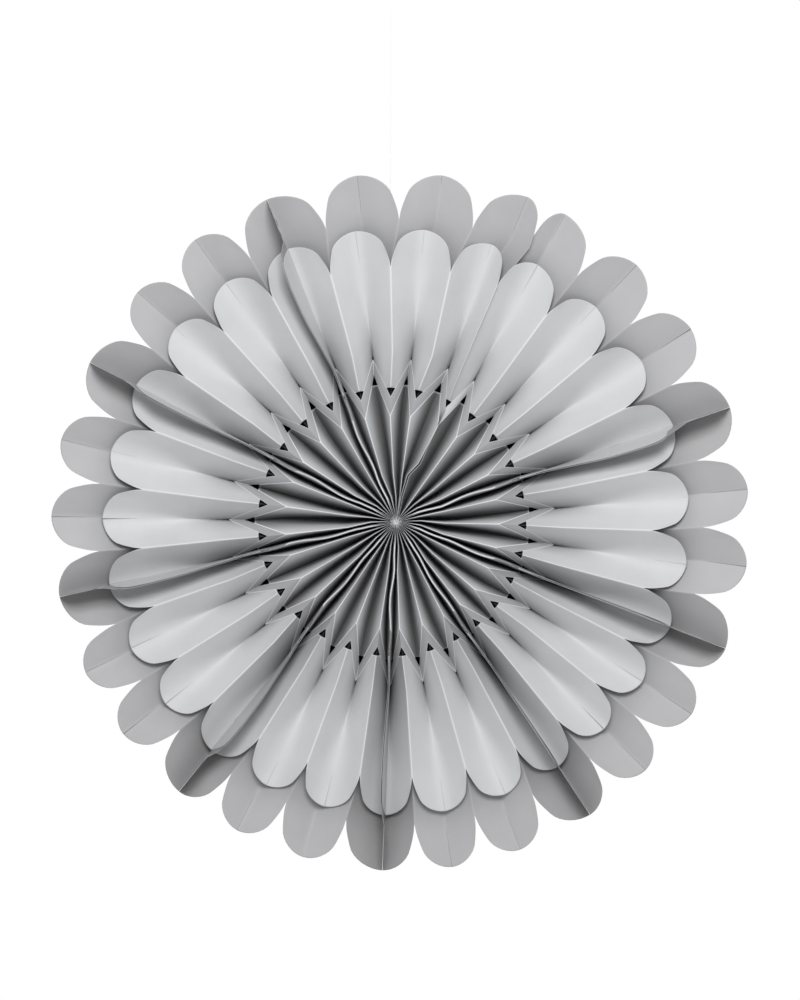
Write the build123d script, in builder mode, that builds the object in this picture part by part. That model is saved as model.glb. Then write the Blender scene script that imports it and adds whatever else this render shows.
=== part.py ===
from build123d import *
from math import cos, degrees, pi, radians, sin
import os

os.makedirs("parts", exist_ok=True)

# Driving sizes of the flower, in millimetres.
# The flower hangs in the XZ plane and faces -Y. Its radii run out from the point where its folds meet.
paper_thickness = 0.15
panel_width = 23.5
hub_radius = 4.0
gather_length = 12.0
star_notch_radius = 68.2
wall_width = 12.2
notch_hole_length = 5.8
star_point_length = 20.5
eye_length = 6.5
spike_length = 10.3
slit_length = 3.0
petal_length = 55.5
petal_end_length = 25.0
back_petal_step = 30.5
back_petal_end_length = 30.2
star_drift = -2.5
back_drift = 2.8
fold_half_width = 0.1
glue_gap = 0.1

# Hanging thread, placed from the point where the folds meet.
thread_diameter = 0.4
thread_side = -3.5
thread_behind = 3.2
thread_hole_height = 150.0
thread_hole_radius = 0.7
thread_top_height = 346.0
thread_bend_share = 0.45
end_knot_radius = 1.1
end_knot_length = 1.6
end_knot_forward = 1.9
loop_knot_radius = 0.9
loop_knot_length = 1.6
loop_length = 14.0
loop_width = 7.0
loop_bend_share = 0.3
thread_sides = 6
knot_sides = 8

# Each of the nine segments has three mountain folds. These are their directions in degrees,
# counter-clockwise from +X as seen from the front, in the star, the front petals and the back ones.
star_angles = (
    (106.6, 93.1, 82.4), (54.5, 40.9, 27.1), (12.6, -1.2, -14.4),
    (-26.5, -40.5, -52.2), (-63.0, -75.6, -88.2), (-98.6, -111.4, -123.8),
    (-137.2, -149.5, -162.6), (-173.6, -187.9, -201.2), (-212.8, -226.5, -240.0),
)
petal_angles = (
    (104.8, 91.2, 77.7), (54.0, 40.2, 26.4), (11.5, -1.9, -14.9),
    (-27.1, -38.9, -50.8), (-62.1, -74.2, -86.4), (-98.1, -110.2, -122.3),
    (-135.4, -148.1, -160.8), (-174.1, -187.3, -200.6), (-214.5, -227.9, -241.2),
)
back_petal_angles = (
    (103.4, 89.4, 75.4), (53.6, 40.1, 26.4), (11.5, -1.0, -13.5),
    (-27.0, -39.0, -50.7), (-63.4, -75.0, -86.5), (-99.5, -111.4, -123.2),
    (-136.1, -148.2, -160.0), (-174.4, -187.4, -200.2), (-215.3, -228.0, -241.1),
)
segments = len(star_angles)
panels = 8
full_angle = 360
gather_start_angle = 107.0
segment_angle = full_angle / segments
joint_spread_angle = 1.7

# The closing joint is not glued: there the end panel of segment 1 lies over that of segment 2.
# Directions of the valley fold and the free edge, first for the end of segment 1.
closing_star_angles = ((73.3, 66.0), (60.9, 67.0))
closing_petal_angles = ((70.8, 66.6), (61.3, 67.0))
closing_back_star_angles = ((73.3, 66.3), (60.9, 65.5))
closing_back_root_angles = ((70.8, 66.6), (61.3, 66.0))
closing_back_rim_angles = ((67.9, 64.0), (61.2, 64.6))

# How far each fold stands in front of the flower's middle plane, as shares of the panel width.
front_mountain_shares = {
    "hub": 0.50, "gather": 0.50, "notch": 0.468, "foot": 0.234, "base": 0.268, "root": 0.298, "rim": 0.255,
}
front_fin_shares = front_mountain_shares | {"root": 0.404, "rim": 0.638}
front_under_shares = front_mountain_shares | {
    "notch": 0.36, "foot": 0.10, "base": 0.14, "root": 0.16, "rim": 0.168,
}
front_valley_shares = {
    "hub": -0.48, "gather": -0.48, "notch": -0.434, "eye_base": -0.396, "eye_tip": -0.374,
    "spike": -0.396, "root": -0.489, "rim": -0.238, "tip": -0.145,
}
back_mountain_shares = {"gather": 0.10, "notch": 0.102, "root": 0.094, "middle": 0.064, "rim": 0.047}
back_fin_shares = back_mountain_shares | {"root": 0.149, "middle": 0.404, "rim": 0.540}
back_over_shares = back_mountain_shares | {"notch": 0.0, "root": -0.05, "middle": 0.03}
back_under_shares = back_mountain_shares | {"notch": -0.05, "root": -0.12, "middle": -0.05, "rim": -0.08}
back_valley_shares = {
    "gather": -0.90, "notch": -0.834, "root": -0.745, "middle": -0.474, "rim": -0.325, "tip": -0.166,
}

# Radii of the marks that follow from those lengths.
gather_radius = hub_radius + gather_length
wall_foot_radius = star_notch_radius + wall_width
notch_hole_radius = wall_foot_radius + notch_hole_length
eye_base_radius = star_notch_radius + star_point_length
eye_tip_radius = eye_base_radius + eye_length
spike_radius = eye_tip_radius + spike_length
root_radius = spike_radius + slit_length
petal_notch_radius = root_radius + petal_length
petal_tip_radius = petal_notch_radius + petal_end_length
back_notch_radius = petal_notch_radius + back_petal_step
back_tip_radius = back_notch_radius + back_petal_end_length

# The origin is where the hanging loop rests on its hook. The folds meet at the flower's centre.
hanging_height = thread_top_height + loop_knot_length + loop_length - thread_diameter / 2
flower_centre = Vector(-thread_side, -thread_behind, -hanging_height)

# Across the plane of a glued joint the edges lie in the order front, back, back, front.
layer_pitch = paper_thickness + glue_gap
back_layer = layer_pitch / 2
front_layer = back_layer + layer_pitch

# Along the star's edge from notch to tip, and along the wall's foot, as shares of that crease.
eye_corner_share = (eye_base_radius - star_notch_radius) / (eye_tip_radius - star_notch_radius)
notch_hole_corner_share = (notch_hole_radius - wall_foot_radius) / (spike_radius - wall_foot_radius)
slit_share = 0.12

# Radius of each named point on the mountain and the valley folds of a front and a back sheet.
front_mountain_radii = {
    "hub": hub_radius, "gather": gather_radius, "notch": star_notch_radius, "foot": wall_foot_radius,
    "base": notch_hole_radius, "root": root_radius, "rim": petal_notch_radius,
}
front_valley_radii = {
    "hub": hub_radius, "gather": gather_radius, "notch": star_notch_radius, "eye_base": eye_base_radius,
    "eye_tip": eye_tip_radius, "spike": spike_radius, "root": root_radius, "rim": petal_notch_radius,
    "tip": petal_tip_radius,
}
back_mountain_radii = {
    "gather": gather_radius, "notch": star_notch_radius, "root": root_radius, "middle": petal_notch_radius,
    "rim": back_notch_radius,
}
back_valley_radii = back_mountain_radii | {"tip": back_tip_radius}

# The star lies a little to the left of the middle, and the tips of the back petals to the right.
star_names = ("notch", "foot", "base", "eye_base", "eye_tip", "spike", "root")
front_drifts = dict.fromkeys(star_names, star_drift)
back_drifts = front_drifts | {"rim": back_drift, "tip": back_drift}

# The unbroken runs of each kind of fold, between its holes and slits.
front_mountain_runs = (("hub", "gather", "notch", "foot"), ("base", "root", "rim"))
front_valley_runs = (("hub", "gather", "notch", "eye_base"), ("eye_tip", "spike"), ("root", "rim", "tip"))
back_mountain_runs = (("gather", "notch", "root", "middle", "rim"),)
back_valley_runs = (("gather", "notch", "root", "middle", "rim", "tip"),)

petal_end_steps = 4


def is_valley(fold):
    """The folds of a sheet alternate, and its free edges stand where mountain folds would."""
    return fold % 2 == 1


def blend(first, second, share):
    """The point or value that lies a share of the way from the first to the second."""
    return first + (second - first) * share


def on_plan(radius, angle, sideways=0):
    """A point of the flower's plane, moved sideways in the clockwise sense."""
    outward = Vector(cos(radians(angle)), 0, sin(radians(angle)))
    clockwise = Vector(sin(radians(angle)), 0, -cos(radians(angle)))
    return outward * radius + clockwise * sideways


def fold_directions(table, segment, spread, closing):
    """Directions of the nine folds and edges of a segment, from its start to its end."""
    first, second, third = table[segment]
    before = table[segment - 1][-1] + (full_angle if segment == 0 else 0)
    after = table[(segment + 1) % segments][0] - (full_angle if segment == segments - 1 else 0)
    start = (before + first) / 2
    stop = (third + after) / 2
    folds = [start, start - spread, first, (first + second) / 2, second, (second + third) / 2, third]
    folds += [stop + spread, stop]
    if segment == 0:
        folds[-2:] = closing[0]
    if segment == 1:
        folds[:2] = reversed(closing[1])
    return folds


def plan_line(stations, sideways):
    """Gives the point of a fold at any radius, on straight runs between its stations.

    A fold at a joint is also set off sideways by its layer, so that the fins lie side by side.
    """
    corners = []
    for radius, angle, drift in stations:
        moved = radius + drift * cos(radians(angle))
        corners.append((moved, on_plan(moved, angle, sideways)))

    def at(radius):
        for (inner, start), (outer, stop) in zip(corners, corners[1:]):
            if radius <= outer or outer == corners[-1][0]:
                return blend(start, stop, (radius - inner) / (outer - inner))

    return at


def rim_directions(segment, root):
    """Directions at the back petals' rim. A glued joint runs straight on from the root."""
    rim = fold_directions(back_petal_angles, segment, 0, closing_back_rim_angles)
    for fold, closing_segment in ((0, 1), (1, 1), (panels - 1, 0), (panels, 0)):
        if segment != closing_segment:
            rim[fold] = root[fold]
    return rim


def sheet_folds(segment, closing_star, closing_root, layer, has_rim):
    """The plan lines of a sheet's nine folds and edges."""
    star = fold_directions(star_angles, segment, joint_spread_angle, closing_star)
    root = fold_directions(petal_angles, segment, 0, closing_root)
    rim = rim_directions(segment, root)
    start = gather_start_angle - segment_angle * segment
    room = degrees(front_layer / hub_radius)
    lines = []
    for fold in range(panels + 1):
        joint = 1 if fold < 2 else (-1 if fold > panels - 2 else 0)
        even = start - room - (segment_angle - 2 * room) * fold / panels + joint * room
        stations = [
            (hub_radius, even, 0),
            (gather_radius, (even + star[fold]) / 2, 0),
            (star_notch_radius, star[fold], star_drift),
            (root_radius, root[fold], star_drift),
            (petal_notch_radius, root[fold], 0),
        ]
        if has_rim:
            stations.append((back_notch_radius, rim[fold], back_drift))
            stations.append((back_tip_radius, rim[fold], back_drift))
        inset = fold_half_width if is_valley(fold) else 0
        lines.append(plan_line(stations, joint * (layer + inset)))
    return lines


def fold_points(line, radii, drifts, shares, half_width):
    """Both sides of a fold at each named radius. A sheet's free edge has no width."""
    points = {}
    for name, radius in radii.items():
        centre = line(radius)
        if name in drifts:
            centre = line(radius + drifts[name] * centre.X / centre.length)
        across = Vector(centre.Z, 0, -centre.X).normalized() * half_width
        placed = flower_centre + centre + Vector(0, -panel_width * shares[name], 0)
        points[name] = (placed - across, placed + across)
    return points


def petal_end(notch, tip, root):
    """Points of a petal's round end, a quarter of an ellipse laid on the folded panel."""
    points = []
    for step in range(1, petal_end_steps):
        turn = pi / 2 * step / petal_end_steps
        points.append(notch + (root - notch) * (1 - cos(turn)) + (tip - root) * sin(turn))
    return points


def folded_sheet(corners, facets):
    """A sheet of paper with its thickness, from the facets of its middle surface."""
    normals = {name: [] for name in corners}
    rim_edges = {}
    for facet in facets:
        a, b, c = (corners[name] for name in facet)
        normal = (b - a).cross(c - a).normalized()
        for name in facet:
            normals[name].append(normal)
        for edge in zip(facet, facet[1:] + facet[:1]):
            if edge[::-1] in rim_edges:
                del rim_edges[edge[::-1]]
            else:
                rim_edges[edge] = True
    front, back = {}, {}
    for name, around in normals.items():
        middle = sum(around, Vector()).normalized()
        slope = sum(middle.dot(normal) for normal in around) / len(around)
        step = middle * (paper_thickness / 2 / slope)
        front[name] = corners[name] + step
        back[name] = corners[name] - step
    loops = [[front[name] for name in facet] for facet in facets]
    loops += [[back[name] for name in reversed(facet)] for facet in facets]
    for a, b in rim_edges:
        loops.append([front[b], front[a], back[a]])
        loops.append([front[b], back[a], back[b]])
    return Solid(Shell([Face(Wire.make_polygon(loop)) for loop in loops]))


def land_facets(left, right, runs):
    """The blunt tip of a fold, along each of its unbroken runs."""
    facets = []
    for run in runs:
        for lower, upper in zip(run, run[1:]):
            facets.append((left + (lower,), right + (lower,), right + (upper,)))
            facets.append((left + (lower,), right + (upper,), left + (upper,)))
    return facets


def turned(facets, mirrored):
    """The same facets, wound the other way round on a panel whose mountain fold is on its right."""
    return [tuple(reversed(facet)) for facet in facets] if mirrored else facets


def round_end_facets(mountain, valley, end):
    """The fan of facets at a petal's round end."""
    edge = [mountain("rim")] + end + [valley("tip")]
    return [(valley("rim"), second, first) for first, second in zip(edge, edge[1:])]


def front_panel(corners, panel, mountain, valley):
    """Facets of a front panel: star, wall and half a petal, with the holes and the slit between."""
    cheek, chin, slit = ((panel, name) for name in ("cheek", "chin", "slit"))
    m, v = mountain, valley
    crease_end = corners[v("spike")]
    corners[cheek] = blend(corners[m("notch")], corners[v("eye_tip")], eye_corner_share)
    corners[chin] = blend(corners[m("foot")], crease_end, notch_hole_corner_share)
    corners[slit] = blend(corners[m("foot")], crease_end, 1 - slit_share)
    root = corners[v("rim")]
    round_end = [(panel, "end", step) for step in range(1, petal_end_steps)]
    corners.update(zip(round_end, petal_end(corners[m("rim")], corners[v("tip")], root)))
    star = [
        (m("hub"), v("hub"), v("gather")), (m("hub"), v("gather"), m("gather")),
        (m("gather"), v("gather"), v("notch")), (m("gather"), v("notch"), m("notch")),
        (m("notch"), v("notch"), v("eye_base")), (m("notch"), v("eye_base"), cheek),
    ]
    wall = [
        (m("notch"), chin, m("foot")), (m("notch"), cheek, chin), (cheek, slit, chin),
        (cheek, v("eye_tip"), slit), (v("eye_tip"), v("spike"), slit),
    ]
    petal = [
        (m("base"), chin, m("root")), (chin, slit, m("root")), (slit, v("root"), m("root")),
        (m("root"), v("root"), v("rim")), (m("root"), v("rim"), m("rim")),
    ]
    return star + wall + petal + round_end_facets(m, v, round_end)


def back_panel(corners, panel, mountain, valley):
    """Facets of a back panel, which runs plain from its inner edge to its petal's round end."""
    m, v = mountain, valley
    names = back_mountain_runs[0]
    round_end = [(panel, "end", step) for step in range(1, petal_end_steps)]
    corners.update(zip(round_end, petal_end(corners[m("rim")], corners[v("tip")], corners[v("rim")])))
    facets = []
    for lower, upper in zip(names, names[1:]):
        facets.append((m(lower), v(lower), v(upper)))
        facets.append((m(lower), v(upper), m(upper)))
    return facets + round_end_facets(m, v, round_end)


def paper_solid(lines, style, edge_shares):
    """One folded sheet: eight panels between nine folds, the outer two of which are its edges."""
    corners, facets = {}, []
    for fold, line in enumerate(lines):
        radii, shares, runs = style["valley"] if is_valley(fold) else style["mountain"]
        half_width = fold_half_width
        if fold in edge_shares:
            shares, runs, half_width = edge_shares[fold], (), 0
        for name, (left, right) in fold_points(line, radii, style["drifts"], shares, half_width).items():
            corners[(fold, "left", name)] = left
            corners[(fold, "right", name)] = right
        facets += land_facets((fold, "left"), (fold, "right"), runs)
    for panel in range(panels):
        mirrored = is_valley(panel)
        sides = [lambda name: (panel, "right", name), lambda name: (panel + 1, "left", name)]
        mountain, valley = reversed(sides) if mirrored else sides
        facets += turned(style["panel"](corners, panel, mountain, valley), mirrored)
    used = {name for facet in facets for name in facet}
    return folded_sheet({name: corners[name] for name in used}, facets)


front_style = {
    "mountain": (front_mountain_radii, front_mountain_shares, front_mountain_runs),
    "valley": (front_valley_radii, front_valley_shares, front_valley_runs),
    "drifts": front_drifts,
    "panel": front_panel,
}
back_style = {
    "mountain": (back_mountain_radii, back_mountain_shares, back_mountain_runs),
    "valley": (back_valley_radii, back_valley_shares, back_valley_runs),
    "drifts": back_drifts,
    "panel": back_panel,
}

for segment in range(segments):
    front_closing = (closing_star_angles, closing_petal_angles)
    front_lines = sheet_folds(segment, *front_closing, front_layer, has_rim=False)
    front_edges = {
        0: front_under_shares if segment == 1 else front_fin_shares,
        panels: front_mountain_shares if segment == 0 else front_fin_shares,
    }
    with BuildPart() as front_sheet:
        add(paper_solid(front_lines, front_style, front_edges))
    front_sheet.part.label = f"front_sheet_{segment + 1}"
    export_step(front_sheet.part, f"parts/{front_sheet.part.label}.step")

    back_closing = (closing_back_star_angles, closing_back_root_angles)
    back_lines = sheet_folds(segment, *back_closing, back_layer, has_rim=True)
    back_edges = {
        0: back_under_shares if segment == 1 else back_fin_shares,
        panels: back_over_shares if segment == 0 else back_fin_shares,
    }
    with BuildPart() as back_sheet:
        add(paper_solid(back_lines, back_style, back_edges))
        if segment == 0:
            hole_centre = flower_centre + Vector(thread_side, 0, thread_hole_height)
            with BuildSketch(Plane(origin=hole_centre, z_dir=(0, 1, 0))):
                RegularPolygon(thread_hole_radius, knot_sides)
            extrude(amount=panel_width, both=True, mode=Mode.SUBTRACT)
    back_sheet.part.label = f"back_sheet_{segment + 1}"
    export_step(back_sheet.part, f"parts/{back_sheet.part.label}.step")

# The thread leaves its knot, passes back through the hole and rises behind the petals.
thread_start = flower_centre + Vector(thread_side, -end_knot_forward, thread_hole_height)
thread_corner = flower_centre + Vector(thread_side, thread_behind, thread_hole_height)
thread_stop = flower_centre + Vector(thread_side, thread_behind, thread_top_height)
bend_radius = thread_bend_share * (thread_behind + end_knot_forward)
print("thread bend radius", round(bend_radius, 2))
with BuildPart() as hanging_thread:
    with BuildLine() as thread_path:
        FilletPolyline(thread_start, thread_corner, thread_stop, radius=bend_radius)
    with BuildSketch(Plane(origin=thread_start, z_dir=(0, 1, 0))):
        RegularPolygon(thread_diameter / 2, thread_sides)
    sweep()
hanging_thread.part.label = "hanging_thread"
export_step(hanging_thread.part, "parts/hanging_thread.step")

with BuildPart() as end_knot:
    with BuildSketch(Plane(origin=thread_start, z_dir=(0, -1, 0))):
        RegularPolygon(end_knot_radius, knot_sides)
    extrude(amount=end_knot_length)
end_knot.part.label = "thread_end_knot"
export_step(end_knot.part, "parts/thread_end_knot.step")

loop_corner = thread_stop + Vector(0, 0, loop_knot_length + loop_length)
strand_offset = Vector(thread_diameter / 2, 0, 0)
with BuildPart() as hanging_loop:
    with BuildSketch(Plane(origin=thread_stop)):
        RegularPolygon(loop_knot_radius, knot_sides)
    extrude(amount=loop_knot_length)
    with BuildLine() as loop_path:
        FilletPolyline(
            thread_stop - strand_offset,
            loop_corner - Vector(loop_width / 2, 0, 0),
            loop_corner + Vector(loop_width / 2, 0, 0),
            thread_stop + strand_offset,
            radius=loop_width * loop_bend_share,
        )
    with BuildSketch(Plane(origin=loop_path.line @ 0, z_dir=loop_path.line % 0)):
        RegularPolygon(thread_diameter / 2, thread_sides)
    sweep()
hanging_loop.part.label = "hanging_loop"
export_step(hanging_loop.part, "parts/hanging_loop.step")
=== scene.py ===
import random
from functools import partial
from math import cos, pi, radians, sin, sqrt

import bmesh
import bpy
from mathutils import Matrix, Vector


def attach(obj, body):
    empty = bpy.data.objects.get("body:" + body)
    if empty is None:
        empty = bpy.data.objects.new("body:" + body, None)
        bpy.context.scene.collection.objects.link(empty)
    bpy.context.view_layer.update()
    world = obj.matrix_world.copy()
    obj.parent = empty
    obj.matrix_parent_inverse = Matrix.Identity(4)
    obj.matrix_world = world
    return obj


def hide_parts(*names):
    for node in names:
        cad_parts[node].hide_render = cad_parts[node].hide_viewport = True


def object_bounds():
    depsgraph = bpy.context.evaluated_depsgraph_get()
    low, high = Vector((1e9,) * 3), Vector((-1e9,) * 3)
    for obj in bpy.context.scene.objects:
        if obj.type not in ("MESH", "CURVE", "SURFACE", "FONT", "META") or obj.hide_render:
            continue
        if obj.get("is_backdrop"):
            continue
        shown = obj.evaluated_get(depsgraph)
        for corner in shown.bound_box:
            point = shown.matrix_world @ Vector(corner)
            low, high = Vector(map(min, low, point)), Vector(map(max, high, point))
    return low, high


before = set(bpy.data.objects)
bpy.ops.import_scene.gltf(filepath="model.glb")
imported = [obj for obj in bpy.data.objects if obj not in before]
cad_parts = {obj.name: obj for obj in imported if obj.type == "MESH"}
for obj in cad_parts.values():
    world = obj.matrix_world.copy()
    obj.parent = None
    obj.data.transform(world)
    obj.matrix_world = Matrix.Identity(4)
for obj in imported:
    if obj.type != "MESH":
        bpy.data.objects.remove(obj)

cad_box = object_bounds()

# The flower hangs in the XZ plane and faces -Y. Sizes are in millimetres and become metres on the mesh.
# Radii and shares run from the point where the folds meet, which lies below the hook of the hanging loop.
MM = 0.001
CENTRE = Vector((3.5, -3.2, -361.4))
PAPER = 0.15
PLEAT = 23.5
FOLD_HALF_WIDTH = 0.1

# LAYER is a sheet and its glue. The back and front layers stand this far off the plane of a glued joint.
LAYER = 0.25
BACK_LAYER = 0.08
FRONT_LAYER = 1.5 * LAYER

# Radii of the stations that are named in the tables below.
HUB = 4.0
GATHER = 16.0
INNER = 31.0
WAIST = 40.0
STAR_NOTCH = 68.2
WALL_FOOT = 80.4
NOTCH_HOLE = 86.2
EYE_BASE = 88.7
EYE_TIP = 95.2
SPIKE = 105.5
ROOT = 108.5
PETAL_NOTCH = 164.0
PETAL_TIP = 189.0
BACK_NOTCH = 194.5
BACK_TIP = 224.7

# The star lies a little to the left of the middle, and the tips of the back petals to the right.
STAR_DRIFT = -2.5
BACK_DRIFT = 2.8

SEGMENTS = 9
PANELS = 8

# Directions of each segment's three mountain folds, in degrees counter-clockwise from +X.
STAR_ANGLES = (
    (106.6, 93.1, 82.4), (54.5, 40.9, 27.1), (12.6, -1.2, -14.4),
    (-26.5, -40.5, -52.2), (-63.0, -75.6, -88.2), (-98.6, -111.4, -123.8),
    (-137.2, -149.5, -162.6), (-173.6, -187.9, -201.2), (-212.8, -226.5, -240.0),
)
PETAL_ANGLES = (
    (104.8, 91.2, 77.7), (54.0, 40.2, 26.4), (11.5, -1.9, -14.9),
    (-27.1, -38.9, -50.8), (-62.1, -74.2, -86.4), (-98.1, -110.2, -122.3),
    (-135.4, -148.1, -160.8), (-174.1, -187.3, -200.6), (-214.5, -227.9, -241.2),
)
BACK_PETAL_ANGLES = (
    (103.4, 89.4, 75.4), (53.6, 40.1, 26.4), (11.5, -1.0, -13.5),
    (-27.0, -39.0, -50.7), (-63.4, -75.0, -86.5), (-99.5, -111.4, -123.2),
    (-136.1, -148.2, -160.0), (-174.4, -187.4, -200.2), (-215.3, -228.0, -241.1),
)
GATHER_START = 107.0
SEGMENT_SPAN = 40.0
JOINT_SPREAD = 1.7

# Inside the star the two middle valleys of a segment don't lie halfway between their mountain folds.
VALLEY_SHARES = (
    (0.75, 0.60), (0.72, 0.45), (0.70, 0.33), (0.70, 0.38), (0.60, 0.35), (0.58, 0.41), (0.59, 0.30),
    (0.69, 0.35), (0.64, 0.37),
)

# At the closing joint the end of segment 1 lies over that of segment 2: valley fold and free edge of each.
CLOSING_STAR = ((73.3, 66.0), (60.9, 67.0))
CLOSING_PETAL = ((70.8, 66.6), (61.3, 67.0))
CLOSING_BACK_STAR = ((73.3, 66.3), (60.9, 67.3))
CLOSING_BACK_ROOT = ((70.8, 66.6), (61.3, 67.4))
CLOSING_BACK_RIM = ((67.9, 64.0), (61.2, 64.6))

# By segment and fold, the directions of those folds at the gather, inner and waist radii. The free edge
# of the back sheet below has its own.
CLOSING_INNER = {
    (0, 7): (81.5, 79.5, 76.5), (0, 8): (77.5, 75.5, 68.5),
    (1, 0): (77.0, 75.0, 68.0), (1, 1): (66.0, 63.5, 62.0),
}
CLOSING_BACK_INNER = (79.0, 77.0, 70.5)

# How far the standing edges of each glued joint lean, in degrees, after segments 2, 3 and so on to 9.
LEANS = (-2.2, 0.4, 0.3, -0.9, 1.8, 1.4, 0.9, 2.4)

# The waves along those edges: where each starts, its turn in a millimetre, both in radians, and its height.
EDGE_WAVES = (0.5, 2.6, 4.4, 3.4, 0.2, 1.1, 2.0, 5.2)
EDGE_WAVE_TURN = 0.15
EDGE_WAVE_HEIGHT = 0.75

# How far an edge in the star is bent over, and over which share of its panel.
EDGE_BEND = 0.65
BEND_WIDTH = 0.055

# Radii between which the leans, the waves and the bent edges begin and end.
LEAN_START = (84, 150)
LEAN_END = (184, BACK_NOTCH)
WAVE_START = (16, 34)
WAVE_END = (72, 96)
BEND_START = (8, 16)
BEND_END = (84, 100)

# A fin's height at the petals' notch as a share of the pleat, and the radius inside which it isn't moved.
FIN_HEIGHT = 0.876
STILL_RADIUS = 1

# Painted shade of the panels beside a glued joint, how much it changes from the middle to the top or
# bottom one, and that of the open panel at the closing joint, which is below nought and takes painted
# shade away.
JOINT_SHADE = 0.33
JOINT_SHADE_CHANGE = 0.27
OPEN_PANEL_SHADE = -1.2

# Each named station of a fold: its radius, and how far forward it stands as a share of the pleat.
FRONT_MOUNTAIN = {
    "axis": (0, 0.50), "hub": (HUB, 0.50), "gather": (GATHER, 0.50), "inner": (INNER, 0.491),
    "waist": (WAIST, 0.485), "notch": (STAR_NOTCH, 0.468), "foot": (WALL_FOOT, 0.234),
    "base": (NOTCH_HOLE, 0.268), "root": (ROOT, 0.298), "rim": (PETAL_NOTCH, 0.255),
}
FRONT_FIN = FRONT_MOUNTAIN | {"root": (ROOT, 0.404), "rim": (PETAL_NOTCH, 0.638)}
FRONT_UNDER = FRONT_MOUNTAIN | {
    "inner": (INNER, 0.46), "waist": (WAIST, 0.435), "notch": (STAR_NOTCH, 0.36),
    "foot": (WALL_FOOT, 0.10), "base": (NOTCH_HOLE, 0.14), "root": (ROOT, 0.16),
    "rim": (PETAL_NOTCH, 0.168),
}
FRONT_VALLEY = {
    "axis": (0, -0.48), "hub": (HUB, -0.48), "gather": (GATHER, -0.48), "inner": (INNER, -0.467),
    "waist": (WAIST, -0.459), "notch": (STAR_NOTCH, -0.434), "eye_base": (EYE_BASE, -0.396),
    "eye_tip": (EYE_TIP, -0.374), "spike": (SPIKE, -0.396), "root": (ROOT, -0.489),
    "rim": (PETAL_NOTCH, -0.238), "tip": (PETAL_TIP, -0.145),
}
BACK_MOUNTAIN = {
    "axis": (0, 0.10), "gather": (GATHER, 0.10), "inner": (INNER, 0.101), "waist": (WAIST, 0.101),
    "notch": (STAR_NOTCH, 0.102), "root": (ROOT, 0.094), "middle": (PETAL_NOTCH, 0.064),
    "rim": (BACK_NOTCH, 0.047),
}
BACK_FIN = BACK_MOUNTAIN | {
    "root": (ROOT, 0.149), "middle": (PETAL_NOTCH, 0.404), "rim": (BACK_NOTCH, 0.540),
}
BACK_OVER = BACK_MOUNTAIN | {
    "inner": (INNER, 0.07), "waist": (WAIST, 0.05), "notch": (STAR_NOTCH, 0.0), "root": (ROOT, -0.05),
    "middle": (PETAL_NOTCH, 0.03),
}
BACK_UNDER = BACK_MOUNTAIN | {
    "gather": (GATHER, -0.4), "inner": (INNER, -0.4), "waist": (WAIST, -0.3), "notch": (STAR_NOTCH, -0.2),
    "root": (ROOT, -0.22), "middle": (PETAL_NOTCH, -0.1), "rim": (BACK_NOTCH, -0.08),
}
BACK_VALLEY = {
    "axis": (0, -0.90), "gather": (GATHER, -0.90), "inner": (INNER, -0.881), "waist": (WAIST, -0.870),
    "notch": (STAR_NOTCH, -0.834), "root": (ROOT, -0.745), "middle": (PETAL_NOTCH, -0.474),
    "rim": (BACK_NOTCH, -0.325), "tip": (BACK_TIP, -0.166),
}

# The stations that lie off the middle with the star, and the line that fins are measured from.
STAR_NAMES = ("notch", "foot", "base", "eye_base", "eye_tip", "spike", "root")
VALLEY_LINE = tuple(FRONT_VALLEY.values())

# Columns across a panel, from its mountain fold to its valley fold, and the rows of each stretch.
EYE_SHARE = 0.759
CHIN_SHARE = 0.231
SLIT_SHARE = 0.88
COLUMNS = (
    0, 0.012, 0.03, 0.055, 0.09, 0.15, CHIN_SHARE, 0.32, 0.42, 0.53, 0.64, EYE_SHARE, 0.82, SLIT_SHARE,
    0.925, 0.955, 0.98, 1,
)
STAR_ROWS = (
    0, 0.03, 0.06, 0.10, 0.15, 0.20, 0.26, 0.32, 0.38, 0.44, 0.5, 0.58, 0.66, 0.74, 0.82, 0.9,
    0.96, 0.985, 1,
)
WALL_ROWS = (0, 0.06, 0.3, 0.65, 0.94, 1)
PETAL_ROWS = (0, 0.012, 0.04, 0.08, 0.13, 0.18, 0.24, 0.3, 0.37, 0.44, 0.52, 0.6, 0.68, 0.76, 0.84, 0.92, 1)

# Even steps along a back panel, and along a petal's round end.
BACK_STEPS = 25
END_STEPS = 6

# Sizes over which the folds are rounded, and the limits of that rounding as a share and as a width.
STAR_FOLD = 0.3
PETAL_FOLD = 0.6
PETAL_VALLEY_FOLD = 0.8
BACK_FOLD = 0.5
BACK_VALLEY_FOLD = 0.6
WIDEST_FOLD_SHARE = 0.4
NARROWEST_PANEL = 1.5

# Width of the wear and painted highlight along a fold.
WEAR_AND_HIGHLIGHT_WIDTH = 0.9

# On the mesh, in metres: nearer points are joined, and shorter edges are removed. Edges that turn
# by more than this angle, in degrees, stay sharp.
WELD_DISTANCE = 0.00002
SLIVER_LENGTH = 0.000001
CREASE_ANGLE = 38

# The camera looks along +Y at the photograph's frame, which is this high at the flower. From here on
# lengths are in metres, but for the camera's sensor, which is in millimetres.
CAMERA_DISTANCE = 2.5
FRAME_HEIGHT = 0.643
CAMERA_PLACE = Vector((0.0061, -CAMERA_DISTANCE - 0.0032, -0.3473))
SENSOR_HEIGHT = 24
CLIP_END = 20

# The floor, and the strength of the white sky as light and as seen.
FLOOR_RADIUS = 1.6
FLOOR_HEIGHT = -1.11
SKY_LIGHT = 0.38
SKY_SEEN = 1.0
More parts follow.
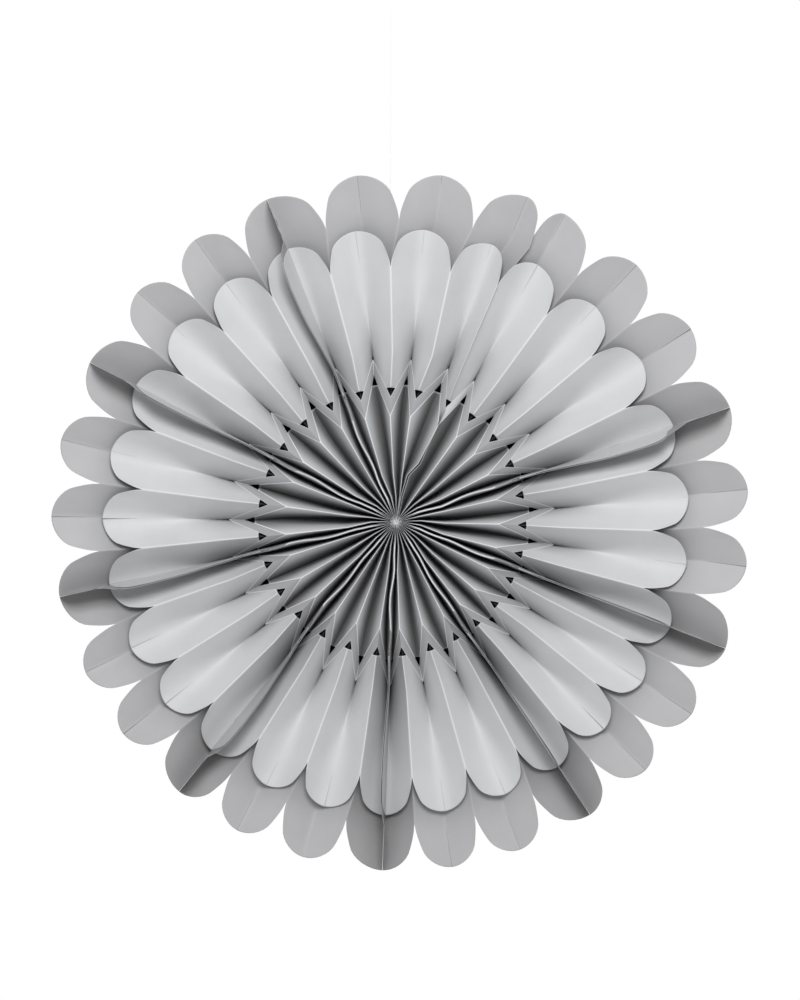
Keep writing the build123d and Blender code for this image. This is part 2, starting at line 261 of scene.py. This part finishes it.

# Colours of each paper: its base tone, darker for the back than the front, the pale tone of its wear
# and painted highlight along folds and edges, and the dark tone of its painted shade.
FRONT_COLORS = ((0.52, 0.525, 0.537), (0.84, 0.845, 0.86), (0.09, 0.09, 0.09))
BACK_COLORS = ((0.385, 0.385, 0.393), (0.55, 0.55, 0.56), (0.02, 0.02, 0.02))

# The hanging thread, and the points of its route from the end knot to the loop.
THREAD_DIAMETER = 0.0004
THREAD_ROUTE = (
    (0, -0.0051, -0.2114),
    (0, 0, -0.2114),
    (0, 0, -0.2063),
    (0, 0, -0.0154),
)


# Small shader language

class Value:
    """A number socket that can be added, taken away and multiplied in plain expressions."""

    def __init__(self, paint, socket):
        self.paint = paint
        self.socket = socket

    def math(self, operation, first, second=None):
        inputs = {0: first} if second is None else {0: first, 1: second}
        return self.paint.node("ShaderNodeMath", {"operation": operation}, inputs).value(0)

    def __add__(self, other):
        return self.math("ADD", self, other)

    def __radd__(self, other):
        return self.math("ADD", other, self)

    def __sub__(self, other):
        return self.math("SUBTRACT", self, other)

    def __rsub__(self, other):
        return self.math("SUBTRACT", other, self)

    def __mul__(self, other):
        return self.math("MULTIPLY", self, other)

    def clamp(self):
        return self.math("MINIMUM", self.math("MAXIMUM", self, 0.0), 1.0)


class Placed:
    """A node that has been placed, with its outputs by name or number."""

    def __init__(self, paint, node):
        self.paint = paint
        self.node = node

    def value(self, output):
        return Value(self.paint, self.node.outputs[output])


class Nodes:
    """A node tree and the one method that places a node in it."""

    def __init__(self, tree):
        self.tree = tree

    def node(self, kind, settings, inputs):
        node = self.tree.nodes.new(kind)
        for name, setting in settings.items():
            setattr(node, name, setting)
        for name, value in inputs.items():
            self.feed(node.inputs[name], value)
        return Placed(self, node)

    def feed(self, socket, value):
        if isinstance(value, Value):
            self.tree.links.new(value.socket, socket)
        else:
            socket.default_value = value


class Paint(Nodes):
    """A material with its shader, and the mixes and noises that feed it."""

    def __init__(self, name):
        self.material = bpy.data.materials.new(name)
        self.material.use_nodes = True
        super().__init__(self.material.node_tree)
        self.shader = self.tree.nodes["Principled BSDF"]

    def mix(self, factor, first, second):
        """Mixes two colours."""
        inputs = {0: factor, 6: first, 7: second}
        return self.node("ShaderNodeMix", {"data_type": "RGBA"}, inputs).value(2)

    def noise(self, size, detail):
        """Even noise whose grains are about this size in metres."""
        place = self.node("ShaderNodeTexCoord", {}, {}).value("Object")
        inputs = {"Vector": place, "Scale": 1 / size, "Detail": detail}
        return self.node("ShaderNodeTexNoise", {}, inputs).value("Fac")

    def set(self, **values):
        for name, value in values.items():
            self.feed(self.shader.inputs[name.replace("_", " ")], value)


def paper_paint(name, shade, wear_and_highlight_color, painted_shade_color):
    """Smooth craft paper with short fibres and a slightly cloudy tone, pale along its folds and edges,
    where wear and a painted highlight lie.

    It is darkened by painted shade where its attribute asks, but only on the faces that look forwards.
    """
    paint = Paint(name)
    wear_and_highlight = paint.node("ShaderNodeAttribute", {"attribute_name": "wear_and_highlight"}, {}).value("Fac")
    painted_shade = paint.node("ShaderNodeAttribute", {"attribute_name": "painted_shade"}, {}).value("Fac")
    facing = paint.node("ShaderNodeNewGeometry", {}, {}).value("True Normal")
    forward = 0.0 - paint.node("ShaderNodeSeparateXYZ", {}, {"Vector": facing}).value("Y")
    cloud = paint.noise(0.030, 3)
    fibre = paint.noise(0.0009, 4)
    grain = paint.noise(0.00025, 2)
    tone = (cloud - 0.5) * 1.1 + (fibre - 0.5) * 0.15 + (grain - 0.5) * 0.12 + 0.5
    dark = tuple(c * 0.93 for c in shade) + (1,)
    light = tuple(min(1, c * 1.07) for c in shade) + (1,)
    body = paint.mix(tone.clamp(), dark, light)
    # Painted shade: faces that look forwards darken towards the dark colour as the attribute rises.
    body = paint.mix(painted_shade.clamp() * (forward * 20.0).clamp(), body, painted_shade_color + (1,))
    # Wear and painted highlight: folds and edges turn pale.
    color = paint.mix((wear_and_highlight * (0.75 + fibre * 0.5)).clamp(), body, wear_and_highlight_color + (1,))
    relief = fibre * 0.7 + grain * 0.3
    bump = paint.node("ShaderNodeBump", {}, {"Strength": 0.22, "Distance": 0.00012, "Height": relief})
    paint.set(
        Base_Color=color,
        Roughness=(0.56 + (fibre - 0.5) * 0.22).clamp(),
        Normal=bump.value("Normal"),
        Specular_IOR_Level=0.32,
    )
    return paint.material


def thread_paint():
    """Pale nylon thread with a soft twist along it."""
    paint = Paint("nylon_thread")
    place = paint.node("ShaderNodeTexCoord", {}, {}).value("Object")
    twist = paint.node(
        "ShaderNodeTexWave",
        {"wave_type": "BANDS", "bands_direction": "DIAGONAL"},
        {"Vector": place, "Scale": 900.0, "Distortion": 0.0},
    ).value("Fac")
    color = paint.mix(twist, (0.74, 0.75, 0.76, 1), (0.86, 0.86, 0.86, 1))
    bump = paint.node("ShaderNodeBump", {}, {"Strength": 0.3, "Distance": 0.00005, "Height": twist})
    paint.set(Base_Color=color, Roughness=(0.3 + twist * 0.1).clamp(), Normal=bump.value("Normal"))
    return paint.material


# Folds of a sheet

def fold_directions(table, segment, spread, closing):
    """Directions of the nine folds and edges of a segment, from its start to its end."""
    first, second, third = table[segment]
    before = table[segment - 1][-1] + (360 if segment == 0 else 0)
    after = table[(segment + 1) % SEGMENTS][0] - (360 if segment == SEGMENTS - 1 else 0)
    start = (before + first) / 2
    stop = (third + after) / 2
    folds = [start, start - spread, first, (first + second) / 2, second, (second + third) / 2, third]
    folds += [stop + spread, stop]
    if segment == 0:
        folds[-2:] = closing[0]
    if segment == 1:
        folds[:2] = reversed(closing[1])
    return folds


def rim_directions(segment, root):
    """Directions at the back petals' rim. A glued joint runs straight on from the root."""
    rim = fold_directions(BACK_PETAL_ANGLES, segment, 0, CLOSING_BACK_RIM)
    for fold, closing_segment in ((0, 1), (1, 1), (PANELS - 1, 0), (PANELS, 0)):
        if segment != closing_segment:
            rim[fold] = root[fold]
    return rim


def inner_directions(segment, star):
    """Directions inside the star, where the middle valleys lie off the middle of their pleats."""
    inner = list(star)
    for fold, share in zip((3, 5), VALLEY_SHARES[segment]):
        inner[fold] = star[fold - 1] + (star[fold + 1] - star[fold - 1]) * share
    return inner


def on_plan(radius, angle, sideways):
    """A point of the flower's plane, moved sideways in the clockwise sense."""
    outward = Vector((cos(radians(angle)), 0, sin(radians(angle))))
    clockwise = Vector((sin(radians(angle)), 0, -cos(radians(angle))))
    return outward * radius + clockwise * sideways


def between(stations, value):
    """The point or number at a value on a line of (value, point) stations."""
    for (low, start), (high, stop) in zip(stations, stations[1:]):
        if value <= high or high == stations[-1][0]:
            return start + (stop - start) * ((value - low) / (high - low))


def level(point):
    """The direction from the flower's middle to a point, in the flower's plane."""
    return Vector((point.x, 0, point.z)).normalized()


def held(value):
    """The value, held between 0 and 1."""
    return min(1, max(0, value))


def ease(low, high, value):
    """Smooth step from 0 at low to 1 at high."""
    t = held((value - low) / (high - low))
    return t * t * (3 - 2 * t)


def bulge(u):
    """A bow across a panel, flat at both folds."""
    return sin(pi * u) ** 2


class Sheet:
    """The folds of one sheet, each a set of named points."""

    def __init__(self, segment, layer, front):
        self.segment = segment
        self.front = front
        closing_star = CLOSING_STAR if front else CLOSING_BACK_STAR
        closing_root = CLOSING_PETAL if front else CLOSING_BACK_ROOT
        star = fold_directions(STAR_ANGLES, segment, JOINT_SPREAD, closing_star)
        inner = inner_directions(segment, star)
        root = fold_directions(PETAL_ANGLES, segment, 0, closing_root)
        rim = rim_directions(segment, root)
        room = FRONT_LAYER / HUB / radians(1)
        start = GATHER_START - SEGMENT_SPAN * segment
        self.points = []
        for fold in range(PANELS + 1):
            joint = 1 if fold < 2 else (-1 if fold > PANELS - 2 else 0)
            even = start - room - (SEGMENT_SPAN - 2 * room) * fold / PANELS + joint * room
            near = ((even + inner[fold]) / 2, inner[fold], inner[fold])
            near = CLOSING_INNER.get((segment, fold), near)
            if not front and (segment, fold) == (1, 0):
                near = CLOSING_BACK_INNER
            halfway = (star[fold] + inner[fold]) / 2
            eye = star[fold] + (root[fold] - star[fold]) * (EYE_BASE - STAR_NOTCH) / (ROOT - STAR_NOTCH)
            stations = [
                (HUB, even, 0), (GATHER, near[0], 0), (INNER, near[1], 0), (WAIST, near[2], 0),
                (STAR_NOTCH, halfway, STAR_DRIFT), (EYE_BASE, eye, STAR_DRIFT),
                (ROOT, root[fold], STAR_DRIFT), (PETAL_NOTCH, root[fold], 0),
            ]
            if not front:
                stations += [(BACK_NOTCH, rim[fold], BACK_DRIFT), (BACK_TIP, rim[fold], BACK_DRIFT)]
            inset = FOLD_HALF_WIDTH if fold % 2 else 0
            line = [(0, Vector())]
            for radius, angle, drift in stations:
                moved = radius + drift * cos(radians(angle))
                line.append((moved, on_plan(moved, angle, joint * (layer + inset))))
            self.points.append(self.fold_points(fold, line))

    def heights(self, fold):
        """The named stations of a fold, mountain, valley or free edge."""
        if fold % 2:
            return FRONT_VALLEY if self.front else BACK_VALLEY
        mountain = FRONT_MOUNTAIN if self.front else BACK_MOUNTAIN
        if fold not in (0, PANELS):
            return mountain
        if (self.segment, fold) == (0, PANELS):
            return mountain if self.front else BACK_OVER
        if (self.segment, fold) == (1, 0):
            return FRONT_UNDER if self.front else BACK_UNDER
        return FRONT_FIN if self.front else BACK_FIN

    def fold_points(self, fold, line):
        points = {}
        for name, (radius, share) in self.heights(fold).items():
            centre = between(line, radius)
            drift = STAR_DRIFT if name in STAR_NAMES else 0
            if not self.front and name in ("rim", "tip"):
                drift = BACK_DRIFT
            if drift:
                centre = between(line, radius + drift * centre.x / centre.length)
            points[name] = centre + Vector((0, -PLEAT * share, 0))
        return points

    def joint(self, panel):
        """Number of the glued joint that a panel ends at, or none."""
        if panel == 0 and self.segment != 1:
            return (self.segment - 2) % SEGMENTS
        if panel == PANELS - 1 and self.segment != 0:
            return self.segment - 1
        return None

    def shade(self, panel):
        """How much painted shade a panel beside a glued joint gets. Lower joints get more.

        The panel that lies open beside the closing joint's slit gets less painted shade than the rest.
        """
        if (self.segment, panel) == (1, 0):
            return OPEN_PANEL_SHADE
        end = 0 if panel < 2 else (PANELS - 1 if panel > PANELS - 3 else None)
        if end is None or self.joint(end) is None:
            return 0
        edge = self.points[0 if end == 0 else PANELS]["root"]
        return JOINT_SHADE - JOINT_SHADE_CHANGE * edge.z / edge.length


def chain(points, knots):
    """Named points as (share, point) knots along a fold."""
    return [(share, points[name]) for share, name in knots]


def rounded(share, ridge, trough):
    """Height share across a panel whose two folds are rounded over these shares of its width."""
    full = 1 - ridge / 2 - trough / 2
    if share < ridge:
        return share * share / (2 * ridge) / full
    if share > 1 - trough:
        return 1 - (1 - share) ** 2 / (2 * trough) / full
    return (share - ridge / 2) / full


def across(mountain, valley, share, ridge, trough):
    """A point across a panel: straight in plan, rounded in height."""
    point = mountain.lerp(valley, share)
    point.y = mountain.y + (valley.y - mountain.y) * rounded(share, ridge, trough)
    return point


def fold_round(mountain, valley, size):
    """Share of the panel over which a fold of this size in millimetres is rounded."""
    width = sqrt((mountain.x - valley.x) ** 2 + (mountain.z - valley.z) ** 2)
    return min(WIDEST_FOLD_SHARE, size / max(width, NARROWEST_PANEL))


def swayed(point, u, joint, front, last):
    """A point of a fin, moved sideways with the lean and the waves of its free edge.

    In the star the last fin of a sheet is bent over the edge of the next sheet's first one.
    """
    radius = sqrt(point.x ** 2 + point.z ** 2)
    if joint is None or radius < STILL_RADIUS:
        return point
    base = between(VALLEY_LINE, min(radius, PETAL_TIP))
    rise = max(0, -point.y / PLEAT - base) / FIN_HEIGHT
    grown = ease(*LEAN_START, radius) * (1 if front else 1 - ease(*LEAN_END, radius))
    wave = EDGE_WAVE_HEIGHT * sin(radius * EDGE_WAVE_TURN + EDGE_WAVES[joint])
    aside = radians(LEANS[joint]) * min(radius, PETAL_NOTCH) * grown
    aside += wave * ease(*WAVE_START, radius) * (1 - ease(*WAVE_END, radius))
    aside *= rise
    inward = 0
    if front:
        bent = (1 - ease(0, BEND_WIDTH, u)) * ease(*BEND_START, radius) * (1 - ease(*BEND_END, radius))
        aside -= EDGE_BEND * bent if last else 0
        inward = 0 if last else EDGE_BEND * bent
    return point + Vector((-point.z, 0, point.x)) * (aside / radius) + Vector((0, inward, 0))


# Rows of points across a panel

def star_rows(m, v):
    """Rows from the flower's middle to the star's edge, the last of which also goes round the eye hole."""
    names = ((0, "axis"), (0.06, "hub"), (0.20, "gather"), (0.38, "inner"), (0.5, "waist"))
    m_chain = chain(m, names + ((1, "notch"),))
    v_chain = chain(v, names + ((0.8, "notch"), (1, "eye_base")))
    cheek = m["notch"].lerp(v["eye_tip"], EYE_SHARE)
    rows = []
    for share in STAR_ROWS:
        start, stop = between(m_chain, share), between(v_chain, share)
        kink = ease(0.55, 1, share)
        ridge = fold_round(start, stop, STAR_FOLD)
        row = []
        for u in COLUMNS:
            if u <= EYE_SHARE:
                edge = m["notch"].lerp(v["eye_tip"], u)
            else:
                edge = cheek.lerp(v["eye_base"], (u - EYE_SHARE) / (1 - EYE_SHARE))
            plain = across(start, stop, u, ridge, ridge)
            row.append(plain + (edge - m["notch"].lerp(v["eye_base"], u)) * kink if share < 1 else edge)
        rows.append(row)
    return rows


def wall_rows(m, v):
    """Rows of the band between the star's edge and the foot of the petals."""
    rows = []
    for share in WALL_ROWS:
        start = m["notch"].lerp(m["foot"], share)
        stop = v["eye_tip"].lerp(v["spike"], share)
        rows.append([start.lerp(stop, u) for u in COLUMNS])
    return rows


def petal_rows(m, v, habit):
    """Rows of a front petal's half, from the punched hole and the slit to the rim and the round end."""
    chin = m["foot"].lerp(v["spike"], CHIN_SHARE)
    slit = m["foot"].lerp(v["spike"], SLIT_SHARE)
    m_chain = chain(m, ((0, "base"), (0.30, "root"), (1, "rim")))
    v_chain = chain(v, ((0, "root"), (1, "rim")))
    rows = []
    for share in PETAL_ROWS:
        start, stop = between(m_chain, share), between(v_chain, share)
        kink = 1 - ease(0, 0.3, share)
        ridge = fold_round(start, stop, PETAL_FOLD)
        trough = fold_round(start, stop, PETAL_VALLEY_FOLD) + habit.soft * ease(0.3, 0.9, share)
        row = []
        for u in COLUMNS:
            if u <= CHIN_SHARE:
                edge = m["base"].lerp(chin, u / CHIN_SHARE)
            elif u <= SLIT_SHARE:
                edge = m["foot"].lerp(v["spike"], u)
            else:
                edge = slit.lerp(v["root"], (u - SLIT_SHARE) / (1 - SLIT_SHARE))
            plain = across(start, stop, u, ridge, trough)
            plain.y -= habit.bow * bulge(u) * ease(0.2, 1, share)
            row.append(plain + (edge - m["base"].lerp(v["root"], u)) * kink if share > 0 else edge)
        rows.append(row)
    return rows + end_rows(m, v, habit, ridge, trough)


def end_rows(m, v, habit, ridge, trough):
    """Rows of a petal's round end, a quarter of an ellipse on each half.

    Its points move straight outwards, but beside the notch along the petal's middle line.
    """
    rows = []
    reach = (v["tip"] - v["rim"]).dot(level(v["rim"]))
    fall = v["tip"].y - v["rim"].y
    for step in range(1, END_STEPS + 1):
        row = []
        for u in COLUMNS:
            out = sqrt(max(0, 1 - (1 - u) ** 2)) * sin(pi / 2 * step / END_STEPS)
            plain = across(m["rim"], v["rim"], u, ridge, trough)
            plain.y -= habit.bow * bulge(u) * (1 - 0.5 * out)
            plain += level(v["rim"]).lerp(level(plain), ease(0, 0.3, u)) * (reach * out)
            plain.y += fall * out - habit.curl * out * out
            row.append(plain)
        rows.append(row)
    return rows


def back_rows(m, v, habit):
    """Rows of a back panel, plain from the flower's middle to its petal's round end."""
    names = (
        (0, "axis"), (0.08, "gather"), (0.16, "inner"), (0.21, "waist"), (0.35, "notch"), (0.56, "root"),
        (0.84, "middle"), (1, "rim"),
    )
    m_chain, v_chain = chain(m, names), chain(v, names)
    rows = []
    for step in range(BACK_STEPS + 1):
        share = step / BACK_STEPS
        start, stop = between(m_chain, share), between(v_chain, share)
        ridge = fold_round(start, stop, BACK_FOLD)
        trough = fold_round(start, stop, BACK_VALLEY_FOLD) + habit.soft * 0.3 * ease(0.8, 1, share)
        row = []
        for u in COLUMNS:
            plain = across(start, stop, u, ridge, trough)
            plain.y -= habit.bow * bulge(u) * ease(0.6, 1, share)
            row.append(plain)
        rows.append(row)
    return rows + end_rows(m, v, habit, ridge, trough)


class Habit:
    """How one petal differs from the next: how soft its valley is, its bow and the curl of its tip."""

    def __init__(self, rng, front):
        self.soft = rng.uniform(0.25, 0.55) if front else rng.uniform(0.0, 0.3)
        self.bow = rng.uniform(-0.3, 0.5)
        self.curl = rng.uniform(-0.8, 0.8)


# Looks of the paper: how much wear and painted highlight and how much painted shade each point gets,
# by its row, its share across the panel, its radius and the shade of its panel

def fold_wear_and_highlight(u):
    """Wear and painted highlight of a fold, which fade over its width."""
    return max(0, 1 - u * PLEAT / WEAR_AND_HIGHLIGHT_WIDTH)


def star_look(index, u, radius, shade):
    """Wear and painted highlight along the ridges and the star's edge, painted shade towards the valleys.
    """
    wear_and_highlight = 0.9 * fold_wear_and_highlight(u)
    if index == len(STAR_ROWS) - 1:
        wear_and_highlight = 1 if u <= EYE_SHARE else 0.35
    return wear_and_highlight * (0.35 + 0.65 * ease(3, 20, radius)), held(0.78 * ease(0, 0.8, u) + 0.3 * shade)


def wall_look(index, u, radius, shade):
    """The star's band: painted shade, and wear with painted highlight at its inner edge and its ridge."""
    if index == len(WALL_ROWS) - 1:
        return petal_look(0, u, radius, shade)
    wear_and_highlight = 1 if index == 0 else 0.8 * fold_wear_and_highlight(1 - u)
    return wear_and_highlight, 0.48 + 0.35 * shade


def painted_slit_look(index, u, radius, shade):
    """The band at the closing joint's upper end, with a dark slit of painted shade along its free edge."""
    wear_and_highlight, painted_shade = wall_look(index, u, radius, shade)
    # The painted slit: painted shade near the free edge, where wear and highlight are taken away.
    slit = (1 - ease(0.16, 0.3, u)) * (1 - ease(72, 82, radius))
    return wear_and_highlight * (1 - slit), max(painted_shade, slit)


def under_look(index, u, radius, shade):
    """The star's panel at the closing joint's lower end, painted with the upper one's shadow."""
    wear_and_highlight, painted_shade = star_look(index, u, radius, shade)
    return wear_and_highlight, max(painted_shade, 0.7)


def petal_look(index, u, radius, shade):
    """A front petal: faint wear and painted highlight, painted shade near its foot, slit and a joint."""
    wear_and_highlight = 0.35 * fold_wear_and_highlight(u)
    if index == 0:
        wear_and_highlight = 0.3 + 0.4 * ease(0.3, 0.8, u)
    near = (0.1 + 0.62 * ease(0.3, 1, u) + 0.3 * shade) * (1 - ease(86, 138, radius))
    far = max(0, shade) * (0.4 + 0.3 * ease(0.2, 1, u)) * (1 - 0.35 * ease(110, 170, radius))
    return wear_and_highlight, min(1, max(0, near) + far)


def back_look(index, u, radius, shade):
    """A back panel: painted shade behind the star and its holes, near the front petals and a joint."""
    wear_and_highlight = 0.12 * fold_wear_and_highlight(u) * ease(ROOT, PETAL_NOTCH, radius)
    near = 0.3 * (1 - ease(168, 208, radius)) + max(0, shade) * (0.45 + 0.3 * ease(0.2, 1, u))
    return wear_and_highlight, min(1, max(1 - ease(98, 116, radius), near))


# Meshes

def add_panel(mesh, rows, mirrored, place, look, shade):
    """Adds a grid of points to the mesh, each with its look."""
    wear_and_highlight_layer = mesh.verts.layers.float["wear_and_highlight"]
    painted_shade_layer = mesh.verts.layers.float["painted_shade"]
    grid = []
    for index, row in enumerate(rows):
        line = []
        for u, point in zip(COLUMNS, row):
            vertex = mesh.verts.new((place(point, u) + CENTRE) * MM)
            radius = sqrt(point.x ** 2 + point.z ** 2)
            # Each point gets its wear with painted highlight, and its painted shade.
            vertex[wear_and_highlight_layer], vertex[painted_shade_layer] = look(index, u, radius, shade)
            line.append(vertex)
        grid.append(line)
    for lower, upper in zip(grid, grid[1:]):
        for a, b, c, d in zip(lower, lower[1:], upper[1:], upper):
            mesh.faces.new((a, b, c, d) if mirrored else (d, c, b, a))


def paper_sheet(name, sheet, paint, habits):
    """One folded sheet as a mesh with a thickness, with its holes, slits and rounded petals."""
    mesh = bmesh.new()
    # Attributes for the paint: wear with painted highlight, and painted shade.
    mesh.verts.layers.float.new("wear_and_highlight")
    mesh.verts.layers.float.new("painted_shade")
    for panel in range(PANELS):
        mirrored = panel % 2 == 1
        left, right = sheet.points[panel], sheet.points[panel + 1]
        m, v = (right, left) if mirrored else (left, right)
        habit = habits[(panel + 1) // 2]
        place = partial(swayed, joint=sheet.joint(panel), front=sheet.front, last=panel == PANELS - 1)
        shade = sheet.shade(panel)
        # At the closing joint two panels get their own painted shade.
        inner_look = under_look if (sheet.segment, panel) == (1, 0) else star_look
        band_look = painted_slit_look if (sheet.segment, panel) == (0, PANELS - 1) else wall_look
        if sheet.front:
            add_panel(mesh, star_rows(m, v), mirrored, place, inner_look, shade)
            add_panel(mesh, wall_rows(m, v), mirrored, place, band_look, shade)
            add_panel(mesh, petal_rows(m, v, habit), mirrored, place, petal_look, shade)
        else:
            add_panel(mesh, back_rows(m, v, habit), mirrored, place, back_look, shade)
    bmesh.ops.remove_doubles(mesh, verts=mesh.verts, dist=WELD_DISTANCE)
    bmesh.ops.dissolve_degenerate(mesh, edges=mesh.edges, dist=SLIVER_LENGTH)
    bmesh.ops.recalc_face_normals(mesh, faces=mesh.faces)
    for face in mesh.faces:
        face.smooth = True
    for edge in mesh.edges:
        if len(edge.link_faces) == 2 and edge.calc_face_angle(0) > radians(CREASE_ANGLE):
            edge.smooth = False
    data = bpy.data.meshes.new(name)
    mesh.to_mesh(data)
    mesh.free()
    piece = bpy.data.objects.new(name, data)
    bpy.context.collection.objects.link(piece)
    data.materials.append(paint)
    thickness = piece.modifiers.new("thickness", "SOLIDIFY")
    thickness.thickness = PAPER * MM
    thickness.offset = 0
    thickness.use_even_offset = False
    return piece


# Camera and thread come first.
camera = bpy.data.objects.new("camera", bpy.data.cameras.new("camera"))
bpy.context.collection.objects.link(camera)
camera.location = CAMERA_PLACE
camera.rotation_euler = (pi / 2, 0, 0)
camera.data.sensor_fit = "VERTICAL"
camera.data.sensor_height = SENSOR_HEIGHT
camera.data.lens = SENSOR_HEIGHT * CAMERA_DISTANCE / FRAME_HEIGHT
camera.data.clip_end = CLIP_END
bpy.context.scene.camera = camera

nylon = thread_paint()
curve = bpy.data.curves.new("thread", "CURVE")
curve.dimensions = "3D"
curve.bevel_depth = THREAD_DIAMETER / 2
curve.bevel_resolution = 3
curve.use_fill_caps = True
spline = curve.splines.new("NURBS")
spline.points.add(len(THREAD_ROUTE) - 1)
for point, place in zip(spline.points, THREAD_ROUTE):
    point.co = place + (1,)
spline.order_u = 3
spline.use_endpoint_u = True
curve.materials.append(nylon)
thread = bpy.data.objects.new("thread", curve)
bpy.context.collection.objects.link(thread)
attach(thread, "root")
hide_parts("hanging_thread")
for node in ("hanging_loop", "thread_end_knot"):
    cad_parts[node].data.materials.clear()
    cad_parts[node].data.materials.append(nylon)
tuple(THREAD_ROUTE[0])

# The eighteen sheets.
front_paper = paper_paint("front_paper", *FRONT_COLORS)
back_paper = paper_paint("back_paper", *BACK_COLORS)
rng = random.Random(7)
for segment in range(SEGMENTS):
    for label, layer, paint, slot in (
        ("front", FRONT_LAYER, front_paper, "front_paper"),
        ("back", BACK_LAYER, back_paper, "back_paper"),
    ):
        is_front = label == "front"
        habits = [Habit(rng, is_front) for petal in range(PANELS // 2 + 1)]
        name = f"{label}_pleats_{segment + 1}"
        piece = paper_sheet(name, Sheet(segment, layer, is_front), paint, habits)
        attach(piece, "root")
        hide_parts(f"{label}_sheet_{segment + 1}")

# Floor, world and light.
floor_place = (0, 0, FLOOR_HEIGHT)
bpy.ops.mesh.primitive_circle_add(vertices=96, radius=FLOOR_RADIUS, fill_type="NGON", location=floor_place)
floor = bpy.context.object
floor.name = "floor"
floor_paint = Paint("pale_floor")
floor_paint.set(Base_Color=(0.94, 0.94, 0.94, 1), Roughness=0.8)
floor.data.materials.append(floor_paint.material)
floor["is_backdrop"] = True

world = bpy.data.worlds.new("studio")
bpy.context.scene.world = world
world.use_nodes = True
sky = Nodes(world.node_tree)
background = sky.tree.nodes["Background"]
seen = sky.node("ShaderNodeLightPath", {}, {}).value("Is Camera Ray")
strength = sky.node("ShaderNodeMix", {"data_type": "FLOAT"}, {0: seen, 2: SKY_LIGHT, 3: SKY_SEEN}).value(0)
sky.feed(background.inputs["Strength"], strength)
sky.feed(background.inputs["Color"], (1, 1, 1, 1))


def soft_light(name, place, size, power):
    """A large square lamp that faces the flower."""
    lamp = bpy.data.lights.new(name, "AREA")
    lamp.shape = "SQUARE"
    lamp.size = size
    lamp.energy = power
    holder = bpy.data.objects.new(name, lamp)
    bpy.context.collection.objects.link(holder)
    holder.location = CENTRE * MM + Vector(place)
    holder.rotation_euler = (-Vector(place)).to_track_quat("-Z", "Y").to_euler()


soft_light("key", place=(0.05, -1.5, 0.92), size=0.8, power=28)
soft_light("rear fill", place=(0, 2.2, 1.0), size=1.6, power=55)

bpy.context.scene.view_settings.view_transform = "Standard"

boxes = {"cad": cad_box, "visual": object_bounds()}
{name: [list(corner) for corner in box] for name, box in boxes.items()}
